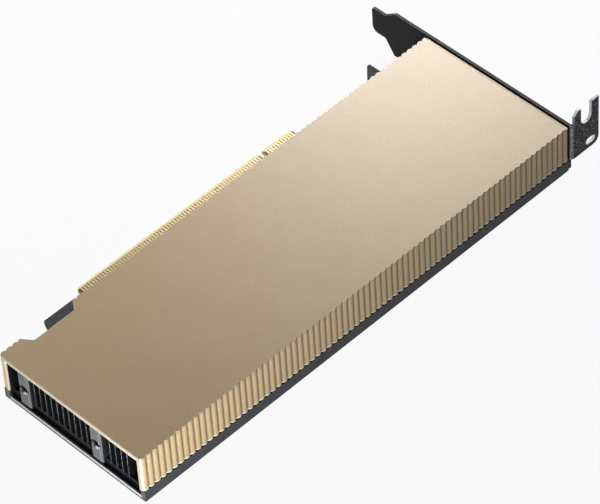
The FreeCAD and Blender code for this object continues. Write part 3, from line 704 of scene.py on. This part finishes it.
finishes["post_grey"] = post_metal()
print("finishes so far", len(finishes))

# %% [markdown]
# ## Everything inside
#
# The rest is hidden while the shroud is on, but a part that someone may open deserves honest finishes
# too.  They differ only in a few numbers, so one function makes them all: two colours, how fine the
# grain is, how metallic and how rough the surface is, and how deep the grain goes.

# %% Plain finishes
def plain_finish(name, dark, light, grain, metallic, roughness, depth):
    finish = Finish(name)
    speckle = finish.grain(grain, detail=3.0)
    finish.set(Base_Color=finish.blend(speckle.above(0.5, 0.5), colour(*dark), colour(*light)),
               Metallic=metallic, Roughness=(roughness - 0.06) + speckle * 0.12)
    finish.relief(speckle, depth, radius=CRISP)
    return finish.material


PLAIN = {
    "film": ((0.008, 0.008, 0.009), (0.014, 0.014, 0.015), 1.2 * MM, 0.0, 0.35, 0.004 * MM),
    "substrate": ((0.035, 0.13, 0.075), (0.05, 0.17, 0.10), 0.6 * MM, 0.0, 0.45, 0.006 * MM),
    "ring_metal": ((0.55, 0.55, 0.56), (0.66, 0.66, 0.67), 0.4 * MM, 0.9, 0.35, 0.004 * MM),
    "silicon": ((0.11, 0.12, 0.15), (0.14, 0.15, 0.19), 4.0 * MM, 0.4, 0.12, 0.001 * MM),
    "paste": ((0.46, 0.46, 0.47), (0.60, 0.60, 0.61), 0.5 * MM, 0.0, 0.55, 0.02 * MM),
    "chip_black": ((0.022, 0.022, 0.024), (0.034, 0.034, 0.037), 0.2 * MM, 0.0, 0.55, 0.006 * MM),
    "pad_grey": ((0.36, 0.44, 0.52), (0.44, 0.53, 0.61), 0.7 * MM, 0.0, 0.75, 0.02 * MM),
    "choke_grey": ((0.085, 0.085, 0.09), (0.15, 0.15, 0.155), 0.15 * MM, 0.3, 0.6, 0.015 * MM),
    "crystal_can": ((0.55, 0.55, 0.53), (0.70, 0.70, 0.68), 0.5 * MM, 0.95, 0.25, 0.002 * MM),
    "screw_steel": ((0.05, 0.05, 0.053), (0.10, 0.10, 0.105), 0.3 * MM, 0.8, 0.35, 0.004 * MM),
}
for slot, facts in PLAIN.items():
    finishes[slot] = plain_finish(slot, *facts)
print("finishes", len(finishes))

# %% [markdown]
# Each solid now gets the finish of its slot.  The imported material slots are emptied first, so no
# leftover colour rides along.

# %% Dress the solids
for node, solid in frame["nodes"].items():
    solid.data.materials.clear()
    solid.data.materials.append(finishes[slot_of[node]])
print("dressed", len(frame["nodes"]), "solids")

# %% [markdown]
# ## A thread for the posts
#
# The tail posts have a plain bore where an M3 screw goes.  A thread is one small triangle carried round
# the bore: a Screw modifier sweeps it, so the profile stays the same from the first turn to the last.
# A circle with three corners is the start.  It is stretched until its tip reaches into the bore and its
# foot sits a little inside the metal, which leaves no slit between coil and bore.

# %% Shape the profile of the thread
THREAD_PITCH = 0.5 * MM
THREAD_TURNS = 7
THREAD_DEPTH = 0.27 * MM
THREAD_FOOT = 0.04 * MM

bpy.ops.object.select_all(action="DESELECT")
bpy.ops.mesh.primitive_circle_add(vertices=3, radius=THREAD_PITCH * 0.5,
                                  rotation=(math.radians(90.0), 0.0, 0.0))
coil = bpy.context.object
coil.name = "thread_coil_1"
bpy.ops.object.transform_apply(location=True, rotation=True, scale=True)
tip_height = max(vertex.co.z for vertex in coil.data.vertices)
foot_height = min(vertex.co.z for vertex in coil.data.vertices)
bpy.ops.object.mode_set(mode="EDIT")
bpy.ops.mesh.select_all(action="SELECT")
bpy.ops.transform.resize(value=(0.9, 1.0, (THREAD_DEPTH + THREAD_FOOT) / (tip_height - foot_height)),
                         center_override=(0.0, 0.0, foot_height))
bpy.ops.transform.translate(value=(0.0, 0.0, -BORE_RADIUS - THREAD_FOOT - foot_height))
bpy.ops.object.mode_set(mode="OBJECT")
print("profile of", len(coil.data.vertices), "corners")

# %% [markdown]
# The modifier turns the profile round the X axis and carries it one pitch along with every turn.  Its
# two ends are open afterwards, so they are filled, and the normals are made to point outwards.

# %% Sweep the coil
screw = coil.modifiers.new("thread", "SCREW")
screw.axis = "X"
screw.angle = 2.0 * math.pi
screw.screw_offset = THREAD_PITCH
screw.iterations = THREAD_TURNS
screw.steps = 28
screw.render_steps = 28
screw.use_merge_vertices = False
bpy.ops.object.modifier_apply(modifier="thread")
bpy.ops.object.mode_set(mode="EDIT")
bpy.ops.mesh.select_all(action="SELECT")
bpy.ops.mesh.fill_holes(sides=0)
bpy.ops.mesh.select_all(action="SELECT")
bpy.ops.mesh.normals_make_consistent(inside=False)
bpy.ops.object.mode_set(mode="OBJECT")
bpy.ops.object.shade_smooth_by_angle(angle=math.radians(35.0))
print("coil", len(coil.data.polygons), "faces")

# %% [markdown]
# The coil was made round the world's X axis.  It moves to the first bore, and a copy with a mesh of its
# own moves on to the second.  Both end with their origin at the world's, like every other solid, and
# ride with the card.  The thread is cut metal deep in a bore, painted nearly black as painted shade,
# with paler specks.

# %% Place the coils
# Nearly black for painted shade on the thread.
THREAD_SHADE_DARK = (0.008, 0.008, 0.008)
CUT_PALE = (0.16, 0.16, 0.16)
COIL_START = 1.4 * MM

first_bore, second_bore = bore_places
bore_front, bore_y, bore_z = first_bore
# The thread painted nearly black, as painted shade.
shaded_thread = plain_finish("shaded_thread", THREAD_SHADE_DARK, CUT_PALE, 0.25 * MM, 0.0, 0.5, 0.004 * MM)
coil.data.materials.append(shaded_thread)
coil.location = (bore_front + COIL_START, bore_y, bore_z)
bpy.ops.object.transform_apply(location=True, rotation=True, scale=True)
bpy.ops.object.duplicate(linked=False)
second_coil = bpy.context.object
second_coil.name = "thread_coil_2"
second_coil.location = (0.0, second_bore[1] - bore_y, 0.0)
bpy.ops.object.transform_apply(location=True, rotation=True, scale=True)
for piece in (coil, second_coil):
    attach(piece, "root")
print("coils", coil.name, "and", second_coil.name)

# %% [markdown]
# ## Floor, light and camera
#
# The card lies on a pale floor, a hair above it so that the two faces don't flicker into each other.
# The floor has to look white and still take the card's shadow.  So it is part glow, which only a
# camera, a reflection or a clear surface sees, and part plain paint, which the shadow falls on.

# %% Floor
FLOOR_SIZE = 6.0
FLOOR_GAP = 0.05 * MM
FLOOR_GLOW = 0.93
FLOOR_GREY = colour(0.54, 0.54, 0.54)
FLOOR_GREY_PALE = colour(0.57, 0.57, 0.57)


def floor_paint():
    finish = Finish("floor_paint")
    rays = ("Is Camera Ray", "Is Glossy Ray", "Is Transmission Ray")
    seen, glossy, through = [finish.node("ShaderNodeLightPath", output=ray) for ray in rays]
    any_view = seen + glossy + through
    any_view = any_view.sum("MINIMUM", any_view, 1.0)
    speckle = finish.grain(30 * MM)
    finish.set(Base_Color=finish.blend(speckle, FLOOR_GREY, FLOOR_GREY_PALE), Roughness=0.9)
    glow = finish.node("ShaderNodeEmission", inputs={"Color": colour(1.0, 1.0, 1.0), "Strength": 1.0},
                       output="Emission")
    matte = Socket(finish, finish.shader.outputs["BSDF"])
    shown = finish.node("ShaderNodeMixShader", inputs={0: any_view * FLOOR_GLOW, 1: matte, 2: glow})
    finish.tree.links.new(shown.output, finish.tree.nodes["Material Output"].inputs["Surface"])
    return finish.material


bpy.ops.object.select_all(action="DESELECT")
bpy.ops.mesh.primitive_plane_add(size=FLOOR_SIZE, location=(0.0, 0.0, cad_low.z - FLOOR_GAP))
floor = bpy.context.object
floor.name = "floor"
bpy.ops.object.transform_apply(location=True, rotation=True, scale=True)
floor.data.materials.append(floor_paint())
print("floor at z = %.2f mm" % ((cad_low.z - FLOOR_GAP) / MM))

# %% [markdown]
# The light is soft: two lamps over the bracket end, where the metal face is brightest, one overhead,
# and two low strips beside the tail that graze the flutes and leave the face alone.  A lamp's size and
# distance decide how soft and how even its light is.  These lamps are near the card on purpose: a near
# lamp fades along the card, which gives the metal its long gradient.  The strip beside the flutes is a
# touch cool, so that their champagne doesn't turn orange.  The sky only fills.

# %% Lamps
WHITE = (1.0, 1.0, 1.0)
COOL = (0.93, 1.0, 1.11)


def soft_lamp(name, place, aim, width, height, power, tint=WHITE):
    """A rectangular lamp that looks at a point and can't be seen itself."""
    data = bpy.data.lights.new(name, "AREA")
    data.shape = "RECTANGLE"
    data.size = width
    data.size_y = height
    data.energy = power
    data.color = tint
    lamp = bpy.data.objects.new(name, data)
    bpy.context.scene.collection.objects.link(lamp)
    lamp.location = place
    lamp.rotation_euler = (Vector(aim) - Vector(place)).to_track_quat("-Z", "Y").to_euler()
    lamp.visible_camera = False
    return lamp


soft_lamp("bracket_softbox", (0.28, 0.27, 0.24), (0.085, 0.02, 0.0), 0.16, 0.16, 1.02)
soft_lamp("bracket_fill", (0.24, 0.16, 0.19), (0.085, 0.0, 0.0), 0.12, 0.12, 0.35)
soft_lamp("overhead_softbox", (-0.05, 0.35, 0.35), (0.0, 0.0, 0.0), 0.25, 0.25, 1.0)
soft_lamp("flute_strip", (-0.13, -0.13, 0.012), (-0.07, -0.03, 0.009), 0.07, 0.02, 0.16, COOL)
soft_lamp("tail_strip", (-0.19, -0.06, 0.012), (-0.08, 0.0, 0.009), 0.08, 0.02, 0.14)
print("lamps", len(bpy.data.lights))

# %% Sky
SKY_STRENGTH = 0.06

world = bpy.data.worlds.new("studio_sky")
bpy.context.scene.world = world
world.use_nodes = True
sky = world.node_tree.nodes["Background"]
sky.inputs["Color"].default_value = colour(1.0, 1.0, 1.0)
sky.inputs["Strength"].default_value = SKY_STRENGTH
print("sky at", SKY_STRENGTH)

# %% [markdown]
# The camera stands far off with a long lens, so the card's long edges stay almost parallel.  It is
# placed by what it looks at, the compass direction and the height it looks from, and a small roll.

# %% Camera
CAMERA_AIM = Vector((3.7 * MM, 0.4 * MM, 8.8 * MM))
CAMERA_DISTANCE = 1.1334
CAMERA_AZIMUTH = math.radians(42.03)
CAMERA_ELEVATION = math.radians(46.57)
CAMERA_ROLL = math.radians(-4.15)
LENS = 241.5

looking = Vector((math.sin(CAMERA_AZIMUTH) * math.cos(CAMERA_ELEVATION),
                  math.cos(CAMERA_AZIMUTH) * math.cos(CAMERA_ELEVATION),
                  -math.sin(CAMERA_ELEVATION)))
camera_data = bpy.data.cameras.new("camera")
camera_data.lens = LENS
camera_data.sensor_width = 36.0
camera_data.sensor_fit = "HORIZONTAL"
camera_data.clip_start = 0.05
camera = bpy.data.objects.new("camera", camera_data)
bpy.context.scene.collection.objects.link(camera)
camera.location = CAMERA_AIM - CAMERA_DISTANCE * looking
turn = looking.to_track_quat("-Z", "Y") @ Quaternion((0.0, 0.0, 1.0), CAMERA_ROLL)
camera.rotation_mode = "QUATERNION"
camera.rotation_quaternion = turn
bpy.context.scene.camera = camera
print("camera up", [round(v, 4) for v in turn @ Vector((0, 1, 0))])

# %% [markdown] The Standard view shows a colour about as it was written, without a film look on top.

# %% Colour as written
bpy.context.scene.view_settings.view_transform = "Standard"
print("view", bpy.context.scene.view_settings.view_transform)
